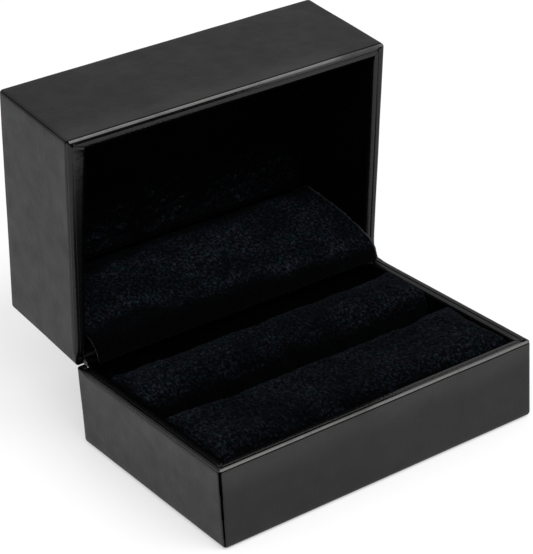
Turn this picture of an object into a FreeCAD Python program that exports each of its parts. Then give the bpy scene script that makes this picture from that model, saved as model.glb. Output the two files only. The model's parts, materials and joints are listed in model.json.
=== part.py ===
import FreeCAD, Part
import math
import os

import Sketcher

# Hinged presentation box for two rings, standing open.
#
# Row frame: origin at the centre of the underside, X along the width, Y towards the hinge, Z up.
# Both halves are made in the same way, in a frame of their own: the closed end at Z = 0 and the rim
# at the top. The base keeps that frame. The lid is turned over onto the base, then swung open about
# the hinge line, which runs along the rear edge where the two rims meet.

PART_FOLDER = "parts"

SIZES = {
    # the whole box
    "box_width": 80.0,        # along the hinge
    "box_depth": 54.0,        # front to rear
    "base_rise": 18.7,        # underside to rim plane
    "lid_rise": 27.8,         # rim plane to the top of the lid
    "open_angle": 83.0,       # how far the lid stands open
    "rim_gap": 0.1,           # each rim's clearance from the rim plane
    "edge_round": 1.0,        # outer corners and closed-end edges
    "rim_round": 0.4,         # outer edge of the rim
    # layers of a wall, from the outside in
    "wrap_skin": 0.25,
    "shell_wall": 1.0,
    "lip_wall": 0.5,          # the shell's thinned lip at the rim
    "turn_skin": 0.2,         # wrap turned in behind the lip
    "turn_drop": 2.2,
    "turn_play": 0.1,         # under the turned-in edge
    "frame_wall": 1.25,
    "frame_low": 0.15,        # rim board below the rim
    "lining_wall": 0.5,
    "lining_low": 0.25,       # lining below the rim
    "rear_lining": 0.4,       # velvet on the base's rear wall
    "rear_lining_low": 0.2,
    "rear_clear": 0.1,        # rear ends of the U-shaped strips to that lining
    # base insert
    "foot_skin": 0.3,
    "foot_inset": 1.6,
    "foot_round": 1.0,
    "board_wall": 0.8,
    "insert_play": 0.1,       # around the board and the rear lining
    "roll_half": 36.8,        # half length of a roll
    "velvet": 0.8,
    "front_roll_near": -23.8,
    "front_roll_far": -1.6,
    "front_roll_top": 19.4,
    "front_roll_round": 2.5,
    "middle_roll_near": 2.8,
    "middle_roll_far": 19.2,
    "middle_roll_top": 20.2,
    "middle_roll_round": 3.0,
    # lid pad
    "pad_half": 36.9,
    "pad_near": -23.9,
    "pad_far": 25.6,
    "pad_board": 0.6,
    "pad_foam": 0.8,
    "pad_velvet": 0.45,
    "pad_corner": 0.8,
    # hinge
    "leaf_wall": 0.4,
    "leaf_half": 37.2,
    "leaf_drop": 9.5,
    "knuckle_round": 0.95,
    "pin_round": 0.5,
    "pin_play": 0.05,
    "pin_head_round": 0.85,
    "pin_head": 0.3,
    "pin_end": 0.1,           # from the end knuckles to the heads
    "knuckle_gap": 0.15,
    "notch_half": 37.9,
    "notch_drop": 1.1,        # rear rim cut down for the barrel
    "bed_play": 0.1,          # around the leaf in its bed in the rear wall
    "rivet_round": 0.8,
    "rivet_head_round": 1.5,
    "rivet_head": 0.2,
    "rivet_sink": 0.3,
    "rivet_drop": 6.0,
    "spring_wall": 0.3,
    "spring_half": 5.0,
    "spring_rise": 9.0,
    "spring_nose": 0.22,
    "spring_nose_drop": 0.35,
    "spring_play": 0.08,
    # hinge cover
    "cover_half": 36.9,
    "cover_card": 0.4,
    "cover_velvet": 0.5,
    "cover_crest": 18.85,     # the nearly flat stretch, from the box's middle
    "cover_curl": 2.4,
}
KNUCKLES = 5                      # three on the base leaf, two on the lid leaf
LEAF_RIVETS = (-30.0, -12.0, 12.0, 30.0)
SPRING_RIVETS = (-2.6, 2.6)       # in the lid only
OVERSHOOT = 2                     # how far a cutting block runs past a face

doc = FreeCAD.newDocument("ring_box")
sheet = doc.addObject("Spreadsheet::Sheet", "Sizes")
nodes = []


def fill_sheet():
    for row, (alias, value) in enumerate(SIZES.items(), start=1):
        sheet.set(f"A{row}", alias)
        sheet.set(f"B{row}", str(value))
        sheet.setAlias(f"B{row}", alias)
    doc.recompute()


def size(alias):
    return float(sheet.get(alias))


def worked(expression):
    """The value of an expression that adds and multiplies cells of the sheet."""
    return float(sheet.evalExpression(expression.replace("Sizes.", "")))


class Half:
    """What differs between the base and the lid: where the closed end starts and how tall it is."""

    def __init__(self, name, rise, start):
        self.name = name
        self.rise = rise
        self.start = start
        self.rim = f"({rise} - Sizes.rim_gap)"
        self.floor = f"({start} + Sizes.wrap_skin + Sizes.shell_wall)"


BASE = Half("base", "Sizes.base_rise", "Sizes.foot_skin")
LID = Half("lid", "Sizes.lid_rise", "0")
SHELL_INSET = "(Sizes.wrap_skin + Sizes.shell_wall)"
LIP_INSET = "(Sizes.wrap_skin + Sizes.lip_wall)"
BEAD_INSET = f"({LIP_INSET} + Sizes.turn_skin)"
FRAME_INSET = f"({SHELL_INSET} + Sizes.frame_wall)"
LINING_INSET = f"({FRAME_INSET} + Sizes.lining_wall)"
REAR = "Sizes.box_depth / 2"
REAR_FACE = f"({REAR} - {SHELL_INSET})"
REAR_STOP = f"({REAR_FACE} - Sizes.rear_lining - Sizes.rear_clear)"


def place_of(half):
    """The base stays put. The lid is turned over, closed onto the base and swung open."""
    if half is BASE:
        return FreeCAD.Placement()
    top = size("base_rise") + size("lid_rise")
    turned_over = FreeCAD.Placement(
        FreeCAD.Vector(0, 0, top), FreeCAD.Rotation(FreeCAD.Vector(0, 1, 0), 180)
    )
    hinge_line = FreeCAD.Vector(0, size("box_depth") / 2, size("base_rise"))
    opened = FreeCAD.Placement(
        FreeCAD.Vector(),
        FreeCAD.Rotation(FreeCAD.Vector(1, 0, 0), -size("open_angle")),
        hinge_line,
    )
    return opened.multiply(turned_over)


def finish_node(item, label, half):
    item.Label = label
    item.Placement = place_of(half)
    nodes.append(item)
    return item


# ---- plain blocks and booleans ----


def block(name, low, high):
    """A block between two corners, each three expressions on the sheet."""
    item = doc.addObject("Part::Box", name)
    for side, near, far in zip(("Length", "Width", "Height"), low, high):
        item.setExpression(side, f"({far}) - ({near})")
    for axis, near in zip("xyz", low):
        item.setExpression(f"Placement.Base.{axis}", near)
    return item


def centred_block(name, inset, bottom, top):
    """A block as wide and deep as the box, less an inset on all four sides."""
    across = f"(Sizes.box_width / 2 - {inset})"
    along = f"(Sizes.box_depth / 2 - {inset})"
    return block(name, (f"-{across}", f"-{along}", bottom), (across, along, top))


def open_block(name, inset, bottom, top):
    """As a centred block, but running back to the rear wall's inner face whatever the inset."""
    across = f"(Sizes.box_width / 2 - {inset})"
    near = f"-(Sizes.box_depth / 2 - {inset})"
    return block(name, (f"-{across}", near, bottom), (across, REAR_FACE, top))


def cylinder(name, radius, length, place, turn=None):
    item = doc.addObject("Part::Cylinder", name)
    item.setExpression("Radius", radius)
    item.setExpression("Height", length)
    item.Placement = FreeCAD.Placement(place, turn or FreeCAD.Rotation())
    return item


def cut(name, base, tool):
    item = doc.addObject("Part::Cut", name)
    item.Base = base
    item.Tool = tool
    return item


def cut_all(name, base, tools):
    return cut(name, base, fuse(name + "_tools", tools))


def fuse(name, pieces):
    item = doc.addObject("Part::MultiFuse", name)
    item.Shapes = pieces
    return item


def rounded(name, base, radii):
    """Rounds the edges of a block. radii holds pairs of an edge test and a radius."""
    doc.recompute()
    item = doc.addObject("Part::Fillet", name)
    item.Base = base
    edges = []
    for number, edge in enumerate(base.Shape.Edges, start=1):
        for wanted, radius in radii:
            if wanted(edge):
                edges.append((number, radius, radius))
                break
    item.Edges = edges
    return item


def is_upright(edge):
    return abs(edge.tangentAt(edge.FirstParameter).z) > 0.99


def is_flat_at(height):
    def test(edge):
        box = edge.BoundBox
        return abs(box.ZMin - height) < 1e-6 and abs(box.ZMax - height) < 1e-6

    return test


# ---- the walls of one half ----


def outer_block(half):
    """The outside of the wrap: rounded corners, a rounded closed end and a crisp rim."""
    plain = centred_block(f"{half.name}_outside", "0", half.start, half.rim)
    return rounded(
        f"{half.name}_outside_round",
        plain,
        [
            (is_upright, size("edge_round")),
            (is_flat_at(worked(half.start)), size("edge_round")),
            (is_flat_at(worked(half.rim)), size("rim_round")),
        ],
    )


def shell_block(half, name):
    """The outside of the moulded shell, one wrap thickness inside the wrap's own outside."""
    bottom = f"{half.start} + Sizes.wrap_skin"
    plain = centred_block(name, "Sizes.wrap_skin", bottom, f"{half.rim} - Sizes.wrap_skin")
    inner_round = size("edge_round") - size("wrap_skin")
    return rounded(
        name + "_round",
        plain,
        [(is_upright, inner_round), (is_flat_at(worked(bottom)), inner_round)],
    )


def hinge_notch(half, name):
    """The room for the hinge barrel, across the top of a rear wall."""
    low = f"{half.rise} - Sizes.notch_drop"
    return block(
        name,
        ("-Sizes.notch_half", REAR_FACE, low),
        ("Sizes.notch_half", f"{REAR} + {OVERSHOOT}", f"{half.rise} + {OVERSHOOT}"),
    )


def leaf_bed(half, name):
    """The recess in a rear wall's outer face, under the wrap, that takes the hinge leaf."""
    play = "Sizes.bed_play"
    return block(
        name,
        (
            f"-(Sizes.leaf_half + {play})",
            f"{REAR} - Sizes.wrap_skin - Sizes.leaf_wall",
            f"{half.rise} - Sizes.leaf_drop - {play}",
        ),
        (f"Sizes.leaf_half + {play}", f"{REAR} + {OVERSHOOT}", f"{half.rise} + {OVERSHOOT}"),
    )


def make_wrap(half):
    """Leatherette sheet glued over the shell, turned over the rim's lip and down behind it."""
    name = half.name + "_wrap"
    skin = cut(name + "_skin", outer_block(half), shell_block(half, name + "_inside"))
    above = f"{half.rim} + {OVERSHOOT}"
    mouth = open_block(name + "_mouth", BEAD_INSET, f"{half.rim} - {OVERSHOOT}", above)
    drop = f"{half.rim} - Sizes.turn_drop"
    turn_out = open_block(name + "_turn_out", LIP_INSET, drop, f"{half.rim} - Sizes.wrap_skin / 2")
    turn_hole = open_block(name + "_turn_in", BEAD_INSET, f"{drop} - {OVERSHOOT}", above)
    turn = cut(name + "_turn", turn_out, turn_hole)
    open_skin = cut(name + "_open", skin, mouth)
    whole = fuse(name + "_whole", [open_skin, turn])
    return finish_node(cut(name, whole, hinge_notch(half, name + "_notch")), name, half)


def make_shell(half):
    """Moulded shell: floor, four walls, a thin lip at the rim, a bed for the hinge leaf."""
    name = half.name + "_shell"
    top = f"{half.rim} + {OVERSHOOT}"
    cavity = centred_block(name + "_cavity", SHELL_INSET, half.floor, top)
    rebate_low = f"{half.rim} - Sizes.turn_drop - Sizes.turn_play"
    rebate = open_block(name + "_rebate", LIP_INSET, rebate_low, top)
    tools = [cavity, rebate, hinge_notch(half, name + "_notch"), leaf_bed(half, name + "_bed")]
    tools += rivet_shanks(half, name + "_hole")
    return finish_node(cut_all(name, shell_block(half, name + "_outside"), tools), name, half)


def u_strip(half, suffix, outer_inset, inner_inset, bottom, top):
    """A strip standing along the front and both sides, open at the rear."""
    name = f"{half.name}_{suffix}"

    def shape(part, inset, rear, low, high):
        across = f"(Sizes.box_width / 2 - {inset})"
        near = f"-(Sizes.box_depth / 2 - {inset})"
        return block(part, (f"-{across}", near, low), (across, rear, high))

    solid = shape(name + "_solid", outer_inset, REAR_STOP, bottom, top)
    past_rear = f"{REAR_STOP} + {OVERSHOOT}"
    low = f"{bottom} - {OVERSHOOT}"
    inside = shape(name + "_inside", inner_inset, past_rear, low, f"{top} + {OVERSHOOT}")
    return finish_node(cut(name, solid, inside), name, half)


def make_rim_frame(half):
    """Board strip that stiffens the walls. Its covered top edge shows beside the wrap's bead."""
    top = f"{half.rim} - Sizes.frame_low"
    return u_strip(half, "rim_frame", SHELL_INSET, FRAME_INSET, half.floor, top)


def make_lining(half):
    """Velvet strip on the inner face of the rim board."""
    top = f"{half.rim} - Sizes.lining_low"
    return u_strip(half, "lining", FRAME_INSET, LINING_INSET, half.floor, top)


# ---- base: foot sheet, insert board and the two rolls ----


def make_foot_sheet():
    sheet_block = centred_block("foot_sheet_block", "Sizes.foot_inset", "0", "Sizes.foot_skin")
    corners = rounded("foot_sheet", sheet_block, [(is_upright, size("foot_round"))])
    return finish_node(corners, "base_foot_sheet", BASE)


def make_rear_lining():
    """Thin velvet on the inner face of the base's rear wall, over the rivet heads."""
    name = "base_rear_lining"
    half_across = f"(Sizes.box_width / 2 - {LINING_INSET} - Sizes.insert_play)"
    strip = block(
        name + "_strip",
        (f"-{half_across}", f"{REAR_FACE} - Sizes.rear_lining", BASE.floor),
        (half_across, REAR_FACE, f"{BASE.rim} - Sizes.rear_lining_low"),
    )
    heads = rivet_heads(BASE, name + "_head")
    return finish_node(cut_all(name, strip, heads), name, BASE)


def make_insert_board():
    half_across = f"(Sizes.box_width / 2 - {LINING_INSET} - Sizes.insert_play)"
    near = f"-(Sizes.box_depth / 2 - {LINING_INSET} - Sizes.insert_play)"
    board = block(
        "insert_board",
        (f"-{half_across}", near, BASE.floor),
        (half_across, REAR_STOP, f"{BASE.floor} + Sizes.board_wall"),
    )
    return finish_node(board, "insert_board", BASE)


def origin_plane(body, role):
    return next(item for item in body.Origin.OriginFeatures if item.Role == role)


def rectangle_sketch(body, name, width, depth, height, middle):
    """A rectangle centred on X, its middle at a given Y, lying level at a given height."""
    sketch = body.newObject("Sketcher::SketchObject", name)
    sketch.AttachmentSupport = [(origin_plane(body, "XY_Plane"), "")]
    sketch.MapMode = "FlatFace"
    sketch.setExpression("AttachmentOffset.Base.y", middle)
    sketch.setExpression("AttachmentOffset.Base.z", height)
    corners = [FreeCAD.Vector(x, y) for x, y in ((-5, -5), (5, -5), (5, 5), (-5, 5))]
    for start, end in zip(corners, corners[1:] + corners[:1]):
        sketch.addGeometry(Part.LineSegment(start, end))
    for side in range(4):
        sketch.addConstraint(Sketcher.Constraint("Coincident", side, 2, (side + 1) % 4, 1))
    for side, kind in enumerate(("Horizontal", "Vertical", "Horizontal", "Vertical")):
        sketch.addConstraint(Sketcher.Constraint(kind, side))
    sketch.addConstraint(Sketcher.Constraint("Symmetric", 0, 1, 1, 2, -1, 1))
    wide = sketch.addConstraint(Sketcher.Constraint("DistanceX", 0, 1, 0, 2, 10))
    deep = sketch.addConstraint(Sketcher.Constraint("DistanceY", 1, 1, 1, 2, 10))
    sketch.setExpression(f"Constraints[{wide}]", width)
    sketch.setExpression(f"Constraints[{deep}]", depth)
    return sketch


def roll_body(name, label, end, near, far, bottom, top, radius):
    """A foam roll's outline: a block whose two long upper edges are well rounded."""
    body = doc.addObject("PartDesign::Body", name)
    middle = f"(({near}) + ({far})) / 2"
    sketch = rectangle_sketch(
        body, name + "_plan", f"2 * ({end})", f"({far}) - ({near})", bottom, middle
    )
    pad = body.newObject("PartDesign::Pad", name + "_pad")
    pad.Profile = sketch
    pad.setExpression("Length", f"({top}) - ({bottom})")
    doc.recompute()
    level = worked(f"({top})")
    long_edges = [
        f"Edge{number}"
        for number, edge in enumerate(pad.Shape.Edges, start=1)
        if is_flat_at(level)(edge) and edge.BoundBox.XLength > 10
    ]
    fillet = body.newObject("PartDesign::Fillet", name + "_crown")
    fillet.Base = (pad, long_edges)
    fillet.setExpression("Radius", radius)
    body.Tip = fillet
    body.Label = label
    return body


def make_roll(name):
    """A foam core and the velvet drawn over it, open underneath where it is glued down."""
    near = f"Sizes.{name}_near"
    far = f"Sizes.{name}_far"
    top = f"Sizes.{name}_top"
    radius = f"Sizes.{name}_round"
    bottom = f"({BASE.floor} + Sizes.board_wall)"
    skin = "Sizes.velvet"
    inner = (f"Sizes.roll_half - {skin}", f"{near} + {skin}", f"{far} - {skin}")
    core = roll_body(
        name + "_core", name + "_core", *inner, bottom, f"{top} - {skin}", f"{radius} - {skin}"
    )
    finish_node(core, name + "_core", BASE)
    outside = roll_body(
        name + "_outside", name + "_outside", "Sizes.roll_half", near, far, bottom, top, radius
    )
    room = roll_body(
        name + "_room", name + "_room", *inner, bottom, f"{top} - {skin}", f"{radius} - {skin}"
    )
    finish_node(cut(name + "_cover", outside, room), name + "_cover", BASE)


# ---- lid: pad under the top ----


def make_lid_pad():
    """A board with thin foam on it, covered with velvet that wraps the foam's edges."""
    board_top = f"{LID.floor} + Sizes.pad_board"
    foam_top = f"{board_top} + Sizes.pad_foam"
    velvet = "Sizes.pad_velvet"

    def layer(name, inset, low, high):
        plain = block(
            name + "_block",
            (f"-(Sizes.pad_half - {inset})", f"Sizes.pad_near + {inset}", low),
            (f"Sizes.pad_half - {inset}", f"Sizes.pad_far - {inset}", high),
        )
        return rounded(name, plain, [(is_upright, size("pad_corner"))])

    finish_node(layer("lid_pad_board", "0", LID.floor, board_top), "lid_pad_board", LID)
    finish_node(layer("lid_pad_foam", velvet, board_top, foam_top), "lid_pad_foam", LID)
    outside = layer("lid_pad_outside", "0", board_top, f"{foam_top} + {velvet}")
    room = layer("lid_pad_room", velvet, f"{board_top} - {OVERSHOOT}", foam_top)
    finish_node(cut("lid_pad_cover", outside, room), "lid_pad_cover", LID)


# ---- hinge ----


def hinge_axis(half):
    return FreeCAD.Vector(0, size("box_depth") / 2, worked(half.rise))


def along_x(name, radius, near, far, half):
    """A rod on the hinge line from one X to another."""
    place = hinge_axis(half) + FreeCAD.Vector(near, 0, 0)
    turn = FreeCAD.Rotation(FreeCAD.Vector(0, 1, 0), 90)
    return cylinder(name, radius, str(far - near), place, turn)


def knuckle_spans():
    """The stretches of the hinge line that the knuckles take in turn."""
    whole = 2 * size("leaf_half")
    gap = size("knuckle_gap")
    length = (whole - gap * (KNUCKLES - 1)) / KNUCKLES
    starts = [-size("leaf_half") + number * (length + gap) for number in range(KNUCKLES)]
    return [(start, start + length) for start in starts]


def make_leaf(half, own_first):
    """Pressed steel leaf: knuckles, and a flange down the outside of the rear wall, under the wrap."""
    name = f"hinge_{half.name}_leaf"
    spans = knuckle_spans()
    own = spans[own_first::2]
    other = spans[1 - own_first :: 2]
    outer = f"({REAR} - Sizes.wrap_skin)"
    into_knuckle = "(Sizes.knuckle_round + Sizes.pin_round) / 2"
    flange = block(
        name + "_flange",
        ("-Sizes.leaf_half", f"{outer} - Sizes.leaf_wall", f"{half.rise} - Sizes.leaf_drop"),
        ("Sizes.leaf_half", outer, f"{half.rise} - {into_knuckle}"),
    )
    knuckles = [
        along_x(f"{name}_knuckle_{number}", "Sizes.knuckle_round", *span, half)
        for number, span in enumerate(own)
    ]
    reach = size("leaf_half") + OVERSHOOT
    bore = along_x(name + "_bore", "Sizes.pin_round + Sizes.pin_play", -reach, reach, half)
    clear = "(Sizes.knuckle_round + Sizes.knuckle_gap)"
    play = size("knuckle_gap")
    slots = [
        block(
            f"{name}_slot_{number}",
            (str(near - play), f"{REAR} - {clear}", f"{half.rise} - {clear}"),
            (str(far + play), f"{REAR} + {clear}", f"{half.rise} + {clear}"),
        )
        for number, (near, far) in enumerate(other)
    ]
    tools = [bore] + slots + rivet_shanks(half, name + "_hole") + rivet_ends(half, name + "_sink")
    solid = fuse(name + "_solid", [flange] + knuckles)
    return finish_node(cut_all(name, solid, tools), name, half)


def make_pin():
    """Steel pin through all knuckles, its two ends headed over."""
    reach = size("leaf_half") + size("pin_end")
    head = size("pin_head")
    rod = along_x("pin_rod", "Sizes.pin_round", -reach, reach, BASE)
    left = along_x("pin_head_left", "Sizes.pin_head_round", -reach - head, -reach, BASE)
    right = along_x("pin_head_right", "Sizes.pin_head_round", reach, reach + head, BASE)
    return finish_node(fuse("hinge_pin", [rod, left, right]), "hinge_pin", BASE)


def rivet_places(half):
    """Where the rivets stand along the hinge, and how far inside the wall their heads sit."""
    places = [(place, 0.0) for place in LEAF_RIVETS]
    if half is LID:
        places += [(place, size("spring_wall")) for place in SPRING_RIVETS]
    return places


def wall_faces():
    """The rear wall's inner and outer faces, without the wrap."""
    outer = size("box_depth") / 2 - size("wrap_skin")
    return outer - size("shell_wall"), outer


def rivet_rod(name, half, place, radius, near, far):
    """A rod along Y through the rear wall at one rivet's place."""
    centre = FreeCAD.Vector(place, near, worked(half.rise) - size("rivet_drop"))
    turn = FreeCAD.Rotation(FreeCAD.Vector(1, 0, 0), -90)
    return cylinder(name, radius, str(far - near), centre, turn)


def rivet_shanks(half, name):
    inner, outer = wall_faces()
    return [
        rivet_rod(f"{name}_{number}", half, place, "Sizes.rivet_round", inner - raised, outer)
        for number, (place, raised) in enumerate(rivet_places(half))
    ]


def rivet_heads(half, name):
    inner, _ = wall_faces()
    head = size("rivet_head")
    radius = "Sizes.rivet_head_round"
    return [
        rivet_rod(f"{name}_{number}", half, place, radius, inner - raised - head, inner - raised)
        for number, (place, raised) in enumerate(rivet_places(half))
    ]


def rivet_ends(half, name):
    """The clinched ends, spread into the leaf's countersinks and flush with its outer face."""
    _, outer = wall_faces()
    ends = []
    for number, (place, _) in enumerate(rivet_places(half)):
        cone = doc.addObject("Part::Cone", f"{name}_{number}")
        cone.setExpression("Radius1", "Sizes.rivet_round")
        cone.setExpression("Radius2", "Sizes.rivet_round + Sizes.rivet_sink")
        cone.setExpression("Height", "Sizes.rivet_sink")
        centre = FreeCAD.Vector(
            place, outer - size("rivet_sink"), worked(half.rise) - size("rivet_drop")
        )
        cone.Placement = FreeCAD.Placement(centre, FreeCAD.Rotation(FreeCAD.Vector(1, 0, 0), -90))
        ends.append(cone)
    return ends


def make_rivets(half):
    """Identical rivets through the rear wall and the hinge leaf, as one group of solids."""
    name = half.name + "_rivets"
    pieces = rivet_heads(half, name + "_head")
    pieces += rivet_shanks(half, name + "_shank")
    pieces += rivet_ends(half, name + "_end")
    return finish_node(fuse(name, pieces), name, half)


def make_snap_spring():
    """Flat spring on the lid's rear wall. Its round nose bears on the middle knuckle's flats."""
    top = f"{LID.rise} - Sizes.spring_nose_drop"
    strip = block(
        "snap_spring_strip",
        ("-Sizes.spring_half", f"{REAR_FACE} - Sizes.spring_wall", f"{top} - Sizes.spring_rise"),
        ("Sizes.spring_half", REAR_FACE, top),
    )
    reach = size("knuckle_round") + size("spring_play") + size("spring_nose")
    drop = size("spring_nose_drop")
    axis = hinge_axis(LID)
    place = FreeCAD.Vector(
        -size("spring_half"), axis.y - math.sqrt(reach**2 - drop**2), axis.z - drop
    )
    turn = FreeCAD.Rotation(FreeCAD.Vector(0, 1, 0), 90)
    nose = cylinder("snap_spring_nose", "Sizes.spring_nose", "2 * Sizes.spring_half", place, turn)
    solid = fuse("snap_spring_solid", [strip, nose])
    holes = rivet_shanks(LID, "snap_spring_hole")
    return finish_node(cut_all("hinge_snap_spring", solid, holes), "hinge_snap_spring", LID)


# ---- hinge cover, as ribbons along an outline ----


def arc(start, middle, end):
    points = [FreeCAD.Vector(0, y, z) for y, z in (start, middle, end)]
    return Part.Arc(*points).toShape()


def line(start, end):
    return Part.LineSegment(FreeCAD.Vector(0, *start), FreeCAD.Vector(0, *end)).toShape()


def ribbon(path, thickness, near, far):
    """A strip of even thickness on one side of a path in the YZ plane, from one X to another."""
    face = path.makeOffset2D(thickness, join=0, fill=True, openResult=True)
    face.translate(FreeCAD.Vector(near, 0, 0))
    return face.extrude(FreeCAD.Vector(far - near, 0, 0))


def cover_path():
    """The hinge cover's outline in the lid's own frame, from its free edge to its glued foot.

    The free edge tucks behind the base's rear wall when the box is closed. The sheet then rises
    over the hinge, runs on nearly flat and curls down to the lid pad.
    """
    pad_face = worked(f"{LID.floor} + Sizes.pad_board + Sizes.pad_foam + Sizes.pad_velvet")
    level = pad_face + size("cover_velvet")
    rear = size("pad_far")
    curl = size("cover_curl")
    crest = size("cover_crest")
    free_edge, tuck, shoulder = (24.6, 32.2), (21.7, 30.7), (20.4, 27.4)
    slope, flat = (19.35, 21.5), (crest, 14.0)
    curl_start = (crest, level + curl)
    corner = curl * (1 - math.cos(math.pi / 4))
    curl_middle = (crest + corner, level + corner)
    curl_end = (crest + curl, level)
    return Part.Wire(
        [
            arc(free_edge, tuck, shoulder),
            arc(shoulder, slope, flat),
            line(flat, curl_start),
            arc(curl_start, curl_middle, curl_end),
            line(curl_end, (rear, level)),
        ]
    )


def feature(name, shape, half):
    item = doc.addObject("Part::Feature", name)
    item.Shape = shape
    return finish_node(item, name, half)


def make_hinge_cover():
    """A curved card with velvet on its face, which hides the hinge."""
    reach = size("cover_half")
    path = cover_path()
    feature("hinge_cover_velvet", ribbon(path, size("cover_velvet"), -reach, reach), LID)
    feature("hinge_cover_card", ribbon(path, -size("cover_card"), -reach, reach), LID)


# ---- build, check and write ----


def build():
    fill_sheet()
    for half in (BASE, LID):
        make_shell(half)
        make_wrap(half)
        make_rim_frame(half)
        make_lining(half)
        make_rivets(half)
    make_foot_sheet()
    make_rear_lining()
    make_insert_board()
    make_roll("front_roll")
    make_roll("middle_roll")
    make_lid_pad()
    make_leaf(BASE, own_first=0)
    make_leaf(LID, own_first=1)
    make_pin()
    make_hinge_cover()
    make_snap_spring()
    doc.recompute()


def check():
    for item in doc.Objects:
        if "Invalid" in item.State or "Error" in item.State:
            raise RuntimeError(f"{item.Name} failed: {item.State}")
    for item in nodes:
        if item.Shape.isNull() or not item.Shape.isValid():
            raise RuntimeError(f"{item.Label} has no valid shape")


def write():
    os.makedirs(PART_FOLDER, exist_ok=True)
    for item in nodes:
        item.Shape.exportStep(f"{PART_FOLDER}/{item.Label}.step")
        print(f"{item.Label:22s} {item.Shape.Volume:9.1f} mm3, {len(item.Shape.Solids)} solids")


build()
check()
write()
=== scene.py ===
import json
import math

import bmesh
import bpy
import numpy as np
from mathutils import Matrix, Vector, noise


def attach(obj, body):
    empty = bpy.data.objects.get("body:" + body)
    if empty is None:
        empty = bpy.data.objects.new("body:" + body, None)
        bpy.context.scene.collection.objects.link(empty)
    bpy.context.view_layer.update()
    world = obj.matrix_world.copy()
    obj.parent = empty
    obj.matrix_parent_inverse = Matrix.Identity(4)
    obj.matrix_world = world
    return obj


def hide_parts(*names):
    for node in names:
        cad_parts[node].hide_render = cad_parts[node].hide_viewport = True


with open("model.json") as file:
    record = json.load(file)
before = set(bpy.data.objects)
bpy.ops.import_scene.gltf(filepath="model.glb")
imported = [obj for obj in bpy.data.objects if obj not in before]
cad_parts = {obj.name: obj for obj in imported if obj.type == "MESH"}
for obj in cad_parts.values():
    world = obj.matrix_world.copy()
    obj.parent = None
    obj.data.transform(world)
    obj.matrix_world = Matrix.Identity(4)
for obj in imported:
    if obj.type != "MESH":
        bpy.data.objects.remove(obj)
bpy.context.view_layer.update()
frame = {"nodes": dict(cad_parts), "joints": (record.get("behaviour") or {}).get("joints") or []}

# A hinged ring box: leatherette outside, black velvet inside, standing open.
# Lengths are in millimetres until a mesh is written; each half is drawn in a frame of its own, with
# its closed end at Z = 0 and its rim at the top, and half.matrix carries it into the row frame.

MM = 0.001

# ---- sizes read from the frame


class Half:
    """The base or the lid: its body's name, its frame and the height of its rim plane."""

    def __init__(self, name, matrix, rise):
        self.name = name
        self.matrix = matrix
        self.rise = rise


def node_points(node):
    mesh = frame["nodes"][node].data
    points = np.empty(len(mesh.vertices) * 3)
    mesh.vertices.foreach_get("co", points)
    return points.reshape(-1, 3)


def moved(points, matrix):
    return points @ np.array(matrix.to_3x3()).T + np.array(matrix.translation)


def own_box(node, half):
    """A node's lowest and highest corners in its half's own frame, in millimetres."""
    points = moved(node_points(node), half.matrix.inverted()) / MM
    return points.min(axis=0), points.max(axis=0)


def read_halves():
    joint = frame["joints"][0]
    hinge = Vector(joint["pos_m"])
    angle = math.radians(joint["range_deg"][1])
    swing = Matrix.Translation(hinge) @ Matrix.Rotation(-angle, 4, "X") @ Matrix.Translation(-hinge)
    closed_top = moved(node_points("lid_wrap"), swing.inverted())[:, 2].max()
    turned_over = Matrix.Translation((0, 0, closed_top)) @ Matrix.Rotation(math.pi, 4, "Y")
    base = Half("base", Matrix.Identity(4), hinge.z / MM)
    lid = Half("lid", swing @ turned_over, (closed_top - hinge.z) / MM)
    return base, lid


BASE, LID = read_halves()
WRAP_LOW, WRAP_HIGH = own_box("base_wrap", BASE)
WIDTH = WRAP_HIGH[0] - WRAP_LOW[0]
DEPTH = WRAP_HIGH[1] - WRAP_LOW[1]
REAR_STOP = own_box("base_rim_frame", BASE)[1][1]

# ---- sizes of the wraps, rims and linings

EDGE_ROUND = 1.0  # outer corners and closed-end edges
WRAP_SKIN = 0.25
BEAD_ROUND = 0.475  # turned-over bead along the front rims
BEAD_TURN = 0.75 * math.pi
BEAD_NICK = 0.12  # crease where the bead meets the wall
CREASE = 0.13  # its width
SIDE_ROUNDS = (1.1, 0.6)  # outer edges of the left and the right rims, as the box faces you
HINGE_ROUND = 0.08  # the same beside the hinge, nearly square to keep the gap there narrow,
HINGE_REACH = 1.5  # as far as this from the rear wall,
HINGE_EASE = 3.0  # then changing over this length
CREASE_DENT = 0.02
WALL_END = 0.3  # the plain wall's last row is this far below the crease
RIM_GAP = 0.1  # each rim's clearance from the rim plane
TURN_DROP = 2.2  # how far down the turned-in edge reaches
BEAD_SHARE = 0.6  # of the way over a rim, the paper leaves the bead here,
SIDE_SHARE = 0.45  # or a side rim's soft edge here,
BOARD_SHARE = 0.7  # and it meets the board here
TURN_DIP = 0.20  # the turned-in edge below the rim, where it meets the board
SIDE_DIP = 0.14  # the same along the side and rear rims
BOARD_INSETS = (1.45, 2.5)  # outer and inner faces of the rim boards
BOARD_PLAY = 0.03
RIM_SLOPE = 0.25  # how far the side rims fall towards the inside
LID_LEAN = 1.8  # how much wider the lid's left board gets towards the front
LINING_SKIN = 0.5
NOTCH_HALF = 37.9  # the hinge barrel's notch in the rear walls
NOTCH_DROP = 1.1
NOTCH_END = 0.08  # width of the slope at the notch's ends
NOTCH_REACH = 5.0  # the wall's columns shift to the notch's ends from this far below the rim,
NOTCH_EASE = 3.0  # over this height

# ---- mesh helpers


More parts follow.
